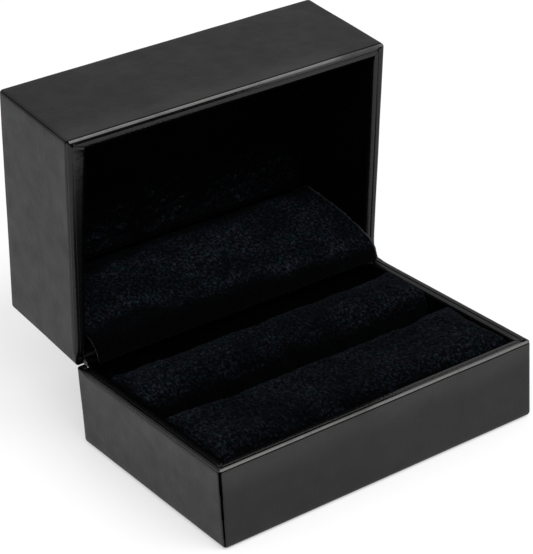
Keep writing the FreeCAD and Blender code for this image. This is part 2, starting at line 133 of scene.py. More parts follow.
def make_piece(name, points, faces, half, material):
    """A mesh piece from points in a half's own frame, riding on that half's body."""
    mesh = bpy.data.meshes.new(name)
    placed = moved(np.asarray(points, float) * MM, half.matrix)
    mesh.from_pydata([tuple(p) for p in placed], [], faces)
    mesh.validate()
    mesh.update()
    mesh.polygons.foreach_set("use_smooth", [True] * len(mesh.polygons))
    piece = bpy.data.objects.new(name, mesh)
    bpy.context.scene.collection.objects.link(piece)
    tidy_normals(piece)
    mesh.materials.append(material)
    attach(piece, half.name)
    return piece


def tidy_normals(piece):
    shape = bmesh.new()
    shape.from_mesh(piece.data)
    bmesh.ops.recalc_face_normals(shape, faces=shape.faces)
    shape.to_mesh(piece.data)
    shape.free()


def settle_modifiers(piece):
    """Writes the modifiers' result into the piece's own mesh."""
    graph = bpy.context.evaluated_depsgraph_get()
    graph.update()
    final = bpy.data.meshes.new_from_object(piece.evaluated_get(graph))
    old = piece.data
    piece.modifiers.clear()
    piece.data = final
    final.name = piece.name
    bpy.data.meshes.remove(old)


def add_modifier(piece, kind, **settings):
    modifier = piece.modifiers.new(kind.lower(), kind)
    for key, value in settings.items():
        setattr(modifier, key, value)
    return modifier


def stations(low, high, step):
    """Evenly spaced places from low to high, about a step apart."""
    return np.linspace(low, high, max(2, round(abs(high - low) / step) + 1))


def smooth_step(value):
    t = min(max(value, 0.0), 1.0)
    return t * t * (3 - 2 * t)


def grid_faces(rows, columns, closed_columns=False):
    faces = []
    last = columns if closed_columns else columns - 1
    for row in range(rows - 1):
        for column in range(last):
            nxt = (column + 1) % columns
            here = row * columns
            above = here + columns
            faces.append((here + column, here + nxt, above + nxt, above + column))
    return faces


def ripple(point, amount, reach, seed):
    """A smooth wave of a given height and reach at a point."""
    place = Vector(point) / reach + Vector((seed, seed * 1.7, seed * 0.3))
    return amount * noise.noise(place)


def roughen(piece, amount, reach, seed):
    """Moves every vertex along its normal by fine noise: the tufts of a pile."""
    mesh = piece.data
    count = len(mesh.vertices)
    points = np.empty(count * 3)
    normals = np.empty(count * 3)
    mesh.vertices.foreach_get("co", points)
    mesh.vertices.foreach_get("normal", normals)
    points = points.reshape(-1, 3)
    normals = normals.reshape(-1, 3)
    offset = Vector((seed, seed * 2.3, seed * 0.7))
    scale = 1 / (reach * MM)
    lift = [
        noise.noise(Vector(p) * scale + offset) + 0.5 * noise.noise(Vector(p) * scale * 2.6 + offset)
        for p in points
    ]
    points += normals * (np.array(lift) * amount * MM)[:, None]
    mesh.vertices.foreach_set("co", points.ravel())
    mesh.update()


# ---- materials


class Nodes:
    """Short names for adding and wiring shader nodes."""

    def __init__(self, name):
        self.material = bpy.data.materials.new(name)
        self.material.use_nodes = True
        self.tree = self.material.node_tree
        self.shader = self.tree.nodes["Principled BSDF"]

    def add(self, kind, **inputs):
        node = self.tree.nodes.new(kind)
        for key, value in inputs.items():
            node.inputs[key.replace("_", " ")].default_value = value
        return node

    def link(self, source, target):
        self.tree.links.new(source, target)

    def coordinates(self):
        return self.add("ShaderNodeTexCoord").outputs["Object"]

    def noise(self, scale, detail=2.0, roughness=0.5, stretch=None):
        node = self.add("ShaderNodeTexNoise", Scale=scale, Detail=detail, Roughness=roughness)
        place = self.coordinates()
        if stretch:
            squeeze = self.add("ShaderNodeMapping", Scale=stretch)
            self.link(place, squeeze.inputs["Vector"])
            place = squeeze.outputs["Vector"]
        self.link(place, node.inputs["Vector"])
        return node.outputs["Fac"]

    def cells(self, scale):
        node = self.add("ShaderNodeTexVoronoi", Scale=scale)
        node.feature = "SMOOTH_F1"
        self.link(self.coordinates(), node.inputs["Vector"])
        return node.outputs["Distance"]

    def ramp(self, source, stops):
        """Maps a value to colours. stops gives pairs of a place and a colour."""
        stops = list(stops)
        node = self.add("ShaderNodeValToRGB")
        elements = node.color_ramp.elements
        while len(elements) < len(stops):
            elements.new(0.5)
        for element, (place, colour) in zip(elements, stops):
            element.position = place
            element.color = (*colour, 1.0)
        self.link(source, node.inputs["Fac"])
        return node.outputs["Color"]

    def spread(self, source, low, high):
        """Maps a value from 0..1 to low..high."""
        node = self.add("ShaderNodeMapRange")
        node.inputs["To Min"].default_value = low
        node.inputs["To Max"].default_value = high
        self.link(source, node.inputs["Value"])
        return node.outputs["Result"]

    def blend(self, share, first, second, kind="MIX"):
        node = self.add("ShaderNodeMix")
        node.data_type = "RGBA"
        node.blend_type = kind
        for source, socket in ((share, 0), (first, 6), (second, 7)):
            if isinstance(source, bpy.types.NodeSocket):
                self.link(source, node.inputs[socket])
            else:
                node.inputs[socket].default_value = source
        return node.outputs[2]

    def between(self, share, first, second):
        """A value part of the way from the first to the second, which is a number."""
        node = self.add("ShaderNodeMix")
        node.data_type = "FLOAT"
        self.link(share, node.inputs[0])
        self.link(first, node.inputs[2])
        node.inputs[3].default_value = second
        return node.outputs[0]

    def times(self, first, second):
        node = self.add("ShaderNodeMath")
        node.operation = "MULTIPLY"
        node.use_clamp = True
        self.link(first, node.inputs[0])
        self.link(second, node.inputs[1])
        return node.outputs[0]

    def marked(self, name):
        """A value painted on the mesh. It is 0 where the mesh has none."""
        node = self.add("ShaderNodeAttribute")
        node.attribute_name = name
        return node.outputs["Fac"]

    def bump(self, layers):
        """Stacks bump layers, each a height, a strength and a depth in millimetres."""
        normal = None
        for height, strength, depth in layers:
            node = self.add("ShaderNodeBump", Strength=strength, Distance=depth * MM)
            self.link(height, node.inputs["Height"])
            if normal is not None:
                self.link(normal, node.inputs["Normal"])
            normal = node.outputs["Normal"]
        self.link(normal, self.shader.inputs["Normal"])

    def set(self, **values):
        for key, value in values.items():
            self.shader.inputs[key.replace("_", " ")].default_value = value


# Grey of worn paper, which is also a painted highlight along the front beads and painted light on the walls
# next to the rims.
WEAR_AND_PAINTED_LIGHT_TONE = (0.125, 0.125, 0.122, 1)
TAUT_ROUGHNESS = 0.20
PILE_STRETCH = (1.0, 0.7, 1.0)  # tufts lie front to back
PILE_GLINT = (0.60, 0.76, 1.0, 1)
PILE_SHADE_AND_GLINT = ((0.03, 0.03, 0.05), (0.34, 0.41, 0.52), (1.75, 2.1, 2.6))  # painted shade between the tufts, plain on them, and a painted glint atop them
PILE_TINTS = ((0.95, 0.78, 1.05), (0.82, 0.86, 1.0), (0.52, 0.92, 0.98))
CUT_TONE = (0.075, 0.08, 0.085, 1)
PAINTED_SHADE_KEEP = 0.07  # how much of its tone the pile keeps under the painted shade


def grey(level):
    return (level, level, level)


def leatherette(name, dark, light, rough):
    """Satin black leatherette paper: a fine pebble grain and a faint cloudy sheen. Where the mesh is
    marked for wear and painted light it turns grey: worn paper along the front beads, which is also a
    painted highlight there, and painted light on the walls next to the rims. Where it is marked taut it
    is pulled smooth."""
    nodes = Nodes(name)
    nodes.set(Specular_IOR_Level=0.29)
    tone = nodes.ramp(nodes.noise(90.0, 3.0), [(0.3, dark), (0.75, light)])
    patches = nodes.spread(nodes.noise(45.0), -0.9, 2.5)
    specks = nodes.spread(nodes.noise(500.0), 0.6, 1.4)
    # Wear, the painted highlight on the beads and the painted light next to the rims turn the paper grey.
    wear_and_painted_light = nodes.times(nodes.marked("wear_and_painted_light"), nodes.times(patches, specks))
    nodes.link(nodes.blend(wear_and_painted_light, tone, WEAR_AND_PAINTED_LIGHT_TONE), nodes.shader.inputs["Base Color"])
    satin = nodes.spread(nodes.noise(260.0, 4.0), *rough)
    smooth = nodes.between(nodes.marked("taut"), satin, TAUT_ROUGHNESS)
    nodes.link(smooth, nodes.shader.inputs["Roughness"])
    nodes.bump([
        (nodes.cells(2600.0), 0.5, 0.05),
        (nodes.noise(1300.0, 3.0), 0.4, 0.05),
        (nodes.noise(280.0, 2.0), 0.35, 0.12),
    ])
    return nodes.material


def gap_painted_shade():
    """What shows between two edges of the wrap and in the crease below the front bead: glue and board,
    painted near black with no shine as the shade there.
    """
    nodes = Nodes("gap_painted_shade")
    nodes.set(Roughness=1.0, Specular_IOR_Level=0.0)
    tone = nodes.ramp(nodes.noise(2400.0, 3.0), [(0.35, grey(0.0003)), (0.7, grey(0.0014))])
    nodes.link(tone, nodes.shader.inputs["Base Color"])
    nodes.bump([(nodes.noise(5000.0, 2.0), 0.3, 0.03)])
    return nodes.material


def velvet(name, ground, sheen, top_light_slopes):
    """Black velvet: a cold sheen on a nearly black ground, with painted shade between the tufts and a
    painted glint atop them. It is painted darker the less a patch faces up, a painted top light; the
    last argument holds two slopes: how far a patch faces up where it is painted darkest, and where
    brightest. Where the mesh is marked cut, the pile's pale ends show, and where it is marked shade
    it is painted near black as painted shade."""
    nodes = Nodes(name)
    nodes.set(Roughness=1.0, Specular_IOR_Level=0.03, Sheen_Weight=sheen, Sheen_Roughness=0.5)
    nodes.shader.inputs["Sheen Tint"].default_value = PILE_GLINT
    tufts = nodes.noise(1800.0, 3.0, 0.6, PILE_STRETCH)
    tuft_shade_and_glint = [tuple(share * ground for share in colour) for colour in PILE_SHADE_AND_GLINT]
    # Painted shade between the tufts and a painted glint atop them.
    tone = nodes.ramp(tufts, zip((0.40, 0.54, 0.72), tuft_shade_and_glint))
    tint = nodes.ramp(nodes.noise(420.0, 2.0), zip((0.36, 0.5, 0.64), PILE_TINTS))
    lie = nodes.ramp(nodes.noise(125.0, 2.0), [(0.36, (0.42, 0.42, 0.44)), (0.62, grey(1.25))])
    # Painted shade where the mesh is marked shade.
    shade = nodes.spread(nodes.marked("shade"), 1.0, PAINTED_SHADE_KEEP)
    # Painted top light: the pile is painted darker the less it faces up.
    for layer in (tint, lie, painted_top_light(nodes, top_light_slopes), shade):
        tone = nodes.blend(1.0, tone, layer, "MULTIPLY")
    cut = nodes.times(nodes.marked("cut"), nodes.spread(tufts, 0.2, 1.2))
    nodes.link(nodes.blend(cut, tone, CUT_TONE), nodes.shader.inputs["Base Color"])
    nodes.bump([(tufts, 0.9, 0.45), (nodes.noise(4200.0, 2.0), 0.6, 0.12)])
    return nodes.material


def painted_top_light(nodes, top_light_slopes):
    """A painted top light: how bright the pile is painted by how far it faces up, between two given slopes.
    """
    split = nodes.add("ShaderNodeSeparateXYZ")
    nodes.link(nodes.add("ShaderNodeTexCoord").outputs["Normal"], split.inputs[0])
    slope = nodes.add("ShaderNodeMapRange")
    slope.interpolation_type = "SMOOTHSTEP"
    slope.inputs["From Min"].default_value, slope.inputs["From Max"].default_value = top_light_slopes
    slope.inputs["To Min"].default_value = 0.05
    nodes.link(split.outputs["Z"], slope.inputs["Value"])
    return slope.outputs["Result"]


def steel(name, dark, light):
    """Spring steel with fine lengthwise scratches and a patchy finish."""
    nodes = Nodes(name)
    nodes.set(Metallic=1.0)
    nodes.link(nodes.ramp(nodes.noise(900.0, 3.0), [(0.35, dark), (0.7, light)]),
               nodes.shader.inputs["Base Color"])
    nodes.link(nodes.spread(nodes.noise(1500.0, 4.0), 0.28, 0.5), nodes.shader.inputs["Roughness"])
    nodes.bump([(nodes.noise(4000.0, 2.0), 0.15, 0.02)])
    return nodes.material


def plastic():
    """Matte black moulding with a spark-eroded texture."""
    nodes = Nodes("shell_plastic")
    tone = nodes.ramp(nodes.noise(300.0, 2.0), [(0.3, grey(0.008)), (0.7, grey(0.013))])
    nodes.link(tone, nodes.shader.inputs["Base Color"])
    nodes.link(nodes.spread(nodes.noise(2500.0, 3.0), 0.5, 0.66), nodes.shader.inputs["Roughness"])
    nodes.bump([(nodes.noise(5000.0, 3.0), 0.3, 0.03)])
    return nodes.material


def card(name, dark, light):
    """Pressed card: fibres and a slightly uneven tone."""
    nodes = Nodes(name)
    nodes.link(nodes.ramp(nodes.noise(1800.0, 5.0, 0.7), [(0.3, dark), (0.7, light)]),
               nodes.shader.inputs["Base Color"])
    nodes.link(nodes.spread(nodes.noise(800.0, 2.0), 0.75, 0.92), nodes.shader.inputs["Roughness"])
    nodes.bump([(nodes.noise(5200.0, 4.0), 0.3, 0.03)])
    return nodes.material


def floor_paint():
    nodes = Nodes("floor_paint")
    tone = nodes.ramp(nodes.noise(3.0, 2.0), [(0.3, grey(0.61)), (0.7, grey(0.63))])
    nodes.link(tone, nodes.shader.inputs["Base Color"])
    nodes.set(Roughness=0.8, Specular_IOR_Level=0.2, Emission_Strength=0.44)
    nodes.shader.inputs["Emission Color"].default_value = (1, 1, 1, 1)
    return nodes.material


LEATHERETTE = leatherette("leatherette", grey(0.0020), grey(0.0066), (0.37, 0.59))
RIM_PAPER = leatherette("rim_paper", grey(0.0022), grey(0.0045), (0.15, 0.26))
GAP_PAINTED_SHADE = gap_painted_shade()
PLUSH = velvet("plush", 0.015, 0.012, (0.45, 0.95))
ROLL_VELVET = velvet("roll_velvet", 0.0090, 0.010, (0.45, 0.95))
PAD_VELVET = velvet("pad_velvet", 0.017, 0.002, (0.10, 0.27))
# A far darker copy of the velvet for the linings deep inside: painted shade.
LINING = velvet("lining", 0.0010, 0.0, (-2.0, -1.0))
BLACK_STEEL = steel("black_steel", (0.004, 0.004, 0.004), (0.012, 0.012, 0.013))
BRIGHT_STEEL = steel("bright_steel", (0.32, 0.32, 0.33), (0.48, 0.48, 0.49))
PLASTIC = plastic()
CARD = card("card", (0.020, 0.020, 0.021), (0.045, 0.045, 0.046))
COVER_CARD = card("cover_card", grey(0.003), grey(0.009))
FOOT_PAPER = card("foot_paper", grey(0.010), grey(0.020))

# ---- the leatherette wraps

WALL_STEP = 1.4
WALL_WAVE = 0.07  # how uneven the walls are,
WAVE_REACH = 11.0  # over what length,
WALL_SINK = 0.03  # and how far inside the CAD face they stay
PANEL_BORDER = 4.0  # the closed end's panel is even near its edges,
PANEL_DENT = 0.02  # a little sunk,
PANEL_WAVE = 0.5  # and this share as uneven as the walls
SEAM_PLACE = math.pi / 4  # half way round each corner
SEAM_OFFSETS = (-26, -20, -16, -12.5, -9.5, -7, -4.5, -2, 0, 2, 4.5, 7, 9.5, 12.5, 16, 20, 26)
SEAM_DEPTH = 0.10
SEAM_GAPES = {  # half widths at the closed end and at the rim
    "base": {"plain": (0.03, 0.09), "open": (0.12, 0.36)},
    "lid": {"plain": (0.03, 0.06), "open": (0.03, 0.06)},
}
SEAM_FADE = 0.08  # over which a gap's edges sink
SEAM_START = 0.38  # how far below the rim the seams start to open
SEAM_EASE = 0.15  # and over what height
OPEN_CORNER = 3  # its seam gapes
NICKED_CORNER = 0  # its fold stands open at the rim
FOLD_GAPE = 0.3  # half the open fold's width
FOLD_DEPTH = 0.3  # it closes between two and three times this far below the rim
REAR_WALL = 2
RIM_ROWS = 25
CLOSED_ROWS = 8  # round the closed end's edge
FRONT_BLEND = 16  # degrees of a corner over which the front rim becomes a side rim
WEAR_AND_HIGHLIGHT_MIDDLE = 0.31 * math.pi  # how far round the bead the wear and its painted highlight are strongest, how far to each side of that, and over how much they fade
WEAR_AND_HIGHLIGHT_HALF = 0.29 * math.pi  # how far to each side of that,
WEAR_AND_HIGHLIGHT_FADE = 0.10 * math.pi  # and over how much the wear fades
TAUT_SHARE = 0.15
RIM_PAINTED_LIGHT = 0.10  # the walls are painted a little paler next to the rim, as painted light, over this many millimetres
RIM_PAINTED_LIGHT_REACH = 7.0  # over this many millimetres


def corner_angles():
    """Angles round a quarter turn, close together at the seam."""
    fine = [SEAM_PLACE + math.radians(offset) for offset in SEAM_OFFSETS]
    ends = [math.radians(angle) for angle in (0, 6, 12)]
    return ends + fine + [math.pi / 2 - angle for angle in reversed(ends)]


class Station:
    """A place on the outline of the walls: the centre of its corner's rounding, the way out, whether
    it is on the front wall (1) or another (0), how soft its rim's outer edge is, its corner's number
    and how far it lies from that corner's seam, in millimetres along the surface. Beside the hinge
    barrel's notch the rim is dropped, and shifted along X to the notch's square end."""

    def __init__(self, anchor, direction, front, side_round, corner=None, from_seam=90.0):
        self.anchor = anchor
        self.outward = Vector((math.cos(direction), math.sin(direction)))
        self.front = front
        self.side_round = side_round
        self.corner = corner
        self.from_seam = from_seam
        self.drop = 0.0
        self.shift = 0.0

    def make_notch(self):
        past_end = abs(self.anchor.x) - NOTCH_HALF
        if past_end < -WALL_STEP / 2:
            self.drop = NOTCH_DROP
        beside = NOTCH_END / 2 if self.drop == 0 else -NOTCH_END / 2
        if -1.5 * WALL_STEP < past_end < WALL_STEP / 2:
            self.shift = math.copysign(beside - past_end, self.anchor.x)


def side_rounding(half, place):
    """Softer on the left rims than on the right, and nearly square beside the hinge."""
    on_left = (place.x < 0) == (half.matrix.to_3x3()[0][0] > 0)
    full = SIDE_ROUNDS[0] if on_left else SIDE_ROUNDS[1]
    share = smooth_step((DEPTH / 2 - place.y - HINGE_REACH) / HINGE_EASE)
    return HINGE_ROUND + (full - HINGE_ROUND) * share


def wrap_outline(half):
    across = WIDTH / 2 - EDGE_ROUND
    along = DEPTH / 2 - EDGE_ROUND
    corners = [(-across, -along), (across, -along), (across, along), (-across, along)]
    front_walls = (1.0, 0.0, 0.0, 0.0)
    found = []
    for wall in range(4):
        start = Vector(corners[wall])
        end = Vector(corners[(wall + 1) % 4])
        direction = -math.pi / 2 + wall * math.pi / 2
        here = front_walls[wall]
        ahead = front_walls[(wall + 1) % 4]
        for place in stations(0, (end - start).length, WALL_STEP)[1:-1]:
            anchor = start + (end - start).normalized() * place
            found.append(Station(anchor, direction, here, side_rounding(half, anchor)))
            if wall == REAR_WALL:
                found[-1].make_notch()
        for angle in corner_angles():
            past_seam = math.degrees(angle - SEAM_PLACE)
            front = here + (ahead - here) * smooth_step(0.5 + past_seam / FRONT_BLEND)
            from_seam = math.radians(past_seam) * EDGE_ROUND
            found.append(
                Station(end, direction + angle, front, side_rounding(half, end), wall, from_seam)
            )
    return found


def bead_turn(share):
    """How far round the bead the paper is at a share of the way over the rim."""
    return min(share / BEAD_SHARE, 1.0) * BEAD_TURN


def turned_in(share):
    """How far down the turned-in edge a share of the way over the rim is."""
    return (share - BOARD_SHARE) / (1 - BOARD_SHARE)


def bead_profile(share, rim):
    """The front rims: a proud round bead with a crease below it, then the turned-in edge."""
    inner = BOARD_INSETS[0] - BOARD_PLAY
    if share > BOARD_SHARE:
        return inner, rim - TURN_DIP - turned_in(share) * TURN_DROP
    turn = bead_turn(share)
    nick = BEAD_NICK * smooth_step(1 - turn / 0.5)
    inset = BEAD_ROUND * (1 - math.cos(turn)) + nick
    height = rim - BEAD_ROUND * (1 - math.sin(turn))
    slide = max(0.0, (share - BEAD_SHARE) / (BOARD_SHARE - BEAD_SHARE))
    return inset + (inner - inset) * slide, height + (rim - TURN_DIP - height) * slide


def side_profile(share, rim, radius, drop):
    """The side and rear rims: a soft edge that turns over, then lies level as far as the board."""
    inner = BOARD_INSETS[0] - BOARD_PLAY
    if share > BOARD_SHARE:
        return inner, rim - SIDE_DIP - turned_in(share) * drop
    turn = min(share / SIDE_SHARE, 1.0) * math.pi / 2
    level = max(0.0, (share - SIDE_SHARE) / (BOARD_SHARE - SIDE_SHARE))
    inset = radius * (1 - math.cos(turn)) + level * (inner - radius)
    return inset, rim - radius * (1 - math.sin(turn)) - SIDE_DIP * level ** 2


def rim_marks(share, front):
    """At a share of the way over the rim: how worn the bead is, which is also a painted highlight, how taut
    the paper is, and where it is painted black in the crease below the bead as painted shade.
    """
    turn = bead_turn(share)
    wear_and_painted_light = front * smooth_step((WEAR_AND_HIGHLIGHT_HALF - abs(turn - WEAR_AND_HIGHLIGHT_MIDDLE)) / WEAR_AND_HIGHLIGHT_FADE)
    taut = smooth_step(share / TAUT_SHARE)
    return wear_and_painted_light, taut, front * (share == 0)


def wrap_profile(half, start, rim, station):
    """Round the closed end's edge, up the wall and over the rim: the inset, the height, the wear with its
    painted highlight and the painted light next to the rim, how taut the paper is, and where it is
    painted black as shade in the crease."""
    rows = [
        (EDGE_ROUND * (1 - math.sin(turn)), start + EDGE_ROUND * (1 - math.cos(turn)), 0.0, 0.0, 0.0)
        for turn in np.linspace(0, math.pi / 2, CLOSED_ROWS)
    ]
    steps = max(3, round((rim - start - EDGE_ROUND) / WALL_STEP))
    rim -= station.drop
    front = station.front
    first = front * BEAD_ROUND + (1 - front) * station.side_round
    below = rim - first - CREASE
    for share in np.linspace(0, 1, steps)[1:]:
        height = start + EDGE_ROUND + share * (below - WALL_END - start - EDGE_ROUND)
        # Painted light: the wall is made paler towards the rim.
        rows.append((0.0, height, RIM_PAINTED_LIGHT * smooth_step(1 - (below - height) / RIM_PAINTED_LIGHT_REACH), 0.0, 0.0))
    rows.append((CREASE_DENT * front, below, RIM_PAINTED_LIGHT, 0.0, front))
    for share in np.linspace(0, 1, RIM_ROWS):
        bead = bead_profile(share, rim)
        side = side_profile(share, rim, station.side_round, TURN_DROP - station.drop)
        place = tuple(front * b + (1 - front) * s for b, s in zip(bead, side))
        rows.append(place + rim_marks(share, front))
    return rows


def seam_gap(half, station, share, below_rim):
    """How open a corner seam is, 0 to 1: it gapes towards the rim, and closes at the rim itself except
    at the nicked corner. Where it is open the paper sinks, and it is painted black as painted shade."""
    if station.corner is None:
        return 0.0
    kind = "open" if station.corner == OPEN_CORNER else "plain"
    closed_end_gape, rim_gape = SEAM_GAPES[half.name][kind]
    gape = closed_end_gape + (rim_gape - closed_end_gape) * share
    off_seam = abs(station.from_seam)
    gap = smooth_step(1 - (off_seam - gape) / SEAM_FADE) * smooth_step((below_rim - SEAM_START) / SEAM_EASE)
    if station.corner == NICKED_CORNER:
        fold = smooth_step(1 - (off_seam - FOLD_GAPE) / SEAM_FADE) * smooth_step(3 - below_rim / FOLD_DEPTH)
        gap = max(gap, fold)
    return gap


def make_wrap(half, start, seed):
    rim = half.rise - RIM_GAP
    outline = wrap_outline(half)
    profiles = [wrap_profile(half, start, rim, station) for station in outline]
    points = []
    marks = []
    for row in range(len(profiles[0])):
        for station, profile in zip(outline, profiles):
            inset, height, wear_and_painted_light, taut, crease = profile[row]
            share = min(max((height - start) / (rim - start), 0), 1)
            gap = seam_gap(half, station, share, rim - height)
            place = station.anchor + station.outward * (EDGE_ROUND - inset - gap * SEAM_DEPTH)
            place.x += station.shift * smooth_step((height - rim + NOTCH_REACH) / NOTCH_EASE)
            wave = ripple((place.x, place.y, height), WALL_WAVE, WAVE_REACH, seed)
            place += station.outward * (wave * smooth_step(1 - inset / 0.4) - WALL_SINK)
            points.append((place.x, place.y, height))
            marks.append((wear_and_painted_light * (1 - gap), taut, max(gap, crease)))
    faces = grid_faces(len(profiles[0]), len(outline), closed_columns=True)
    faces += closed_end(outline, points, marks, start, seed)
    piece = make_piece(half.name + "_wrap_sheet", points, faces, half, LEATHERETTE)
    wear_and_painted_light, taut, gap = np.array(marks).T
    mark(piece, "wear_and_painted_light", wear_and_painted_light)
    mark(piece, "taut", taut)
    # The open seams and the crease below the front bead take the near-black gap material: painted shade.
    paint(piece, gap, GAP_PAINTED_SHADE)
    add_modifier(piece, "SOLIDIFY", thickness=WRAP_SKIN * MM, offset=-1.0)
    settle_modifiers(piece)
    keep_below(piece, half, rim)
    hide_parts(half.name + "_wrap")


def closed_end(outline, points, marks, start, seed):
    """The flat panel across the closed end, joined to the first row of the outline."""
    across = WIDTH / 2 - EDGE_ROUND
    along = DEPTH / 2 - EDGE_ROUND
    xs = stations(-across, across, WALL_STEP)
    ys = stations(-along, along, WALL_STEP)
    lookup = {}
    for column, station in enumerate(outline):
        key = (round(station.anchor.x, 3), round(station.anchor.y, 3))
        lookup.setdefault(key, []).append(column)
    index = {}
    for i, x in enumerate(xs):
        for j, y in enumerate(ys):
            edge = lookup.get((round(x, 3), round(y, 3)))
            if edge:
                index[i, j] = edge[0]
                for column in edge:
                    points[column] = (x, y, start)
            else:
                index[i, j] = len(points)
                border = min(across - abs(x), along - abs(y)) / PANEL_BORDER
                lift = ripple((x, y, 0), WALL_WAVE, WAVE_REACH, seed) * smooth_step(border)
                points.append((x, y, start + PANEL_DENT + lift * PANEL_WAVE))
                marks.append((0.0, 0.0, 0.0))
    return [
        (index[i, j], index[i, j + 1], index[i + 1, j + 1], index[i + 1, j])
        for i in range(len(xs) - 1)
        for j in range(len(ys) - 1)
    ]


def keep_below(piece, half, top):
    """Keeps the skin's inner side from standing above the rim at the corners."""
    back = half.matrix.inverted()
    for vertex in piece.data.vertices:
        place = back @ vertex.co
        place.z = min(place.z, top * MM)
        vertex.co = half.matrix @ place


def mark(piece, name, values):
    attribute = piece.data.attributes.new(name, "FLOAT", "POINT")
    attribute.data.foreach_set("value", np.array(values, np.float32))


def paint(piece, values, material):
    """Gives a second material to the faces whose corners average more than a half."""
    piece.data.materials.append(material)
    for face in piece.data.polygons:
        if np.mean([values[corner] for corner in face.vertices]) > 0.5:
            face.material_index = 1


# ---- U-shaped strips: rim boards, linings


MITRE_PLACES = (0.0, 0.12, 0.3, 0.7)  # stations close together beside each mitre,
MITRE_REACH = 1.2  # and evenly spaced from here
MITRE_HALF = 0.25  # half the width of a mitre's groove
MITRE_DEPTH = 0.5  # and how far down it shows
TOP_ROWS = 5
INNER_STEP = 0.8
FALL_EASE = 1.5  # the arms' tops start to fall over this length


def u_path(inset, step, lean):
    """Stations along the left wall, the front and the right wall at an inset, mitred at the corners.
    Each is X, Y, the distance to the nearest mitre and whether it is on a side. The arm at +X leans
    inwards by lean at its front end."""
    across = WIDTH / 2 - inset
    near = -(DEPTH / 2 - inset)

    def spaced(length, full_length, both):
        count = round(full_length / step)
        inner = list(np.linspace(MITRE_REACH, length - (MITRE_REACH if both else 0), count))
        tail = [length - place for place in reversed(MITRE_PLACES)] if both else []
        return list(MITRE_PLACES) + inner + tail

    arm = spaced(REAR_STOP - near, DEPTH, False)
    reach = 2 * across
    front = spaced(reach, WIDTH, True)
    found = [(-across, near + d, d, True) for d in reversed(arm)]
    found += [(-across + d * (1 - lean / reach), near, min(d, reach - d), False) for d in front[1:-1]]
    found += [(across - lean * (1 - d / arm[-1]) ** 2, near + d, d, True) for d in arm]
    return found


def make_strip(name, half, outer, inner, bottom, top, material, step, round_top, mitre, fall, lean):
    """A U-shaped strip with a rounded top. Its side arms' top falls towards the inside. fall and lean
    take the share of the way from the outer to the inner face."""
    profile = [(outer, bottom)]
    for turn in np.linspace(0, math.pi / 2, TOP_ROWS):
        profile.append((outer + round_top * (1 - math.cos(turn)), top - round_top * (1 - math.sin(turn))))
    for turn in np.linspace(math.pi / 2, 0, TOP_ROWS):
        profile.append((inner - round_top * (1 - math.cos(turn)), top - round_top * (1 - math.sin(turn))))
    for height in stations(top - round_top, bottom, max(step, INNER_STEP))[1:]:
        profile.append((inner, height))
    shares = [(inset - outer) / (inner - outer) for inset, _ in profile]
    paths = [u_path(inset, step, lean(share)) for (inset, _), share in zip(profile, shares)]
    count = len(paths[0])
    points = []
    for column in range(count):
        for (inset, height), share, path in zip(profile, shares, paths):
            x, y, distance, on_side = path[column]
            rise = (height - bottom) / (top - bottom)
            drop = fall(share) * smooth_step(distance / FALL_EASE) * rise if on_side else 0.0
            on_top = height > top - MITRE_DEPTH
            groove = mitre * smooth_step(1 - distance / MITRE_HALF) if on_top else 0.0
            points.append((x, y, height - drop - groove))
    size = len(profile)
    faces = grid_faces(count, size, closed_columns=True)
    faces.append(tuple(range(size)))
    faces.append(tuple(range((count - 1) * size, count * size)))
    return make_piece(name, points, faces, half, material)


def make_rim_frame(half):
    low, high = own_box(half.name + "_rim_frame", half)
    widest = LID_LEAN if half is LID else 0.0
    piece = make_strip(
        half.name + "_rim_board", half, *BOARD_INSETS, low[2], high[2], RIM_PAPER,
        step=1.5, round_top=0.16, mitre=0.16,
        fall=lambda share: RIM_SLOPE * share, lean=lambda share: widest * share,
    )
    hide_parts(half.name + "_rim_frame")


def make_lining(half):
    node = half.name + "_lining"
    low, high = own_box(node, half)
    inset = WIDTH / 2 - high[0]
    widest = LID_LEAN if half is LID else 0.0
    piece = make_strip(
        node + "_strip", half, inset, inset + LINING_SKIN, low[2], high[2], LINING,
        step=0.45, round_top=0.2, mitre=0.0,
        fall=lambda share: RIM_SLOPE, lean=lambda share: widest,
    )
    roughen(piece, amount=0.05, reach=0.5, seed=3.0)
    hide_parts(node)


# ---- stuffed rolls

SIM_SCALE = 10.0  # the cloth solver likes pieces of about half a metre
SIM_FRAMES = 20
SIM_PRESSURE = 5.0
SIM_SLACK = 0.02  # the cover is cut this share too large
VELVET_STIFFNESS = 15
SWELL_LIMIT = 1.1  # no point moves further than this
HELD_HEIGHT = 1.0  # the cover is glued down below this height
ROLL_SWELLING = 0.5  # the roll is drawn this much too small, then swells
ROLL_STEP = 1.5  # round the roll
ROLL_STEP_ALONG = 1.6
ROLL_END_ROWS = 6
ROLL_RINGS = (0.72, 0.45, 0.2)  # sizes of the rings that close each end
ROLL_FOOT = 0.6  # rounding of its bottom edges
ROLL_END_ROUND = 0.9
ROLL_ROOM = (0.1, 0.3, 0.3)  # how far past the CAD solid the pile may stand


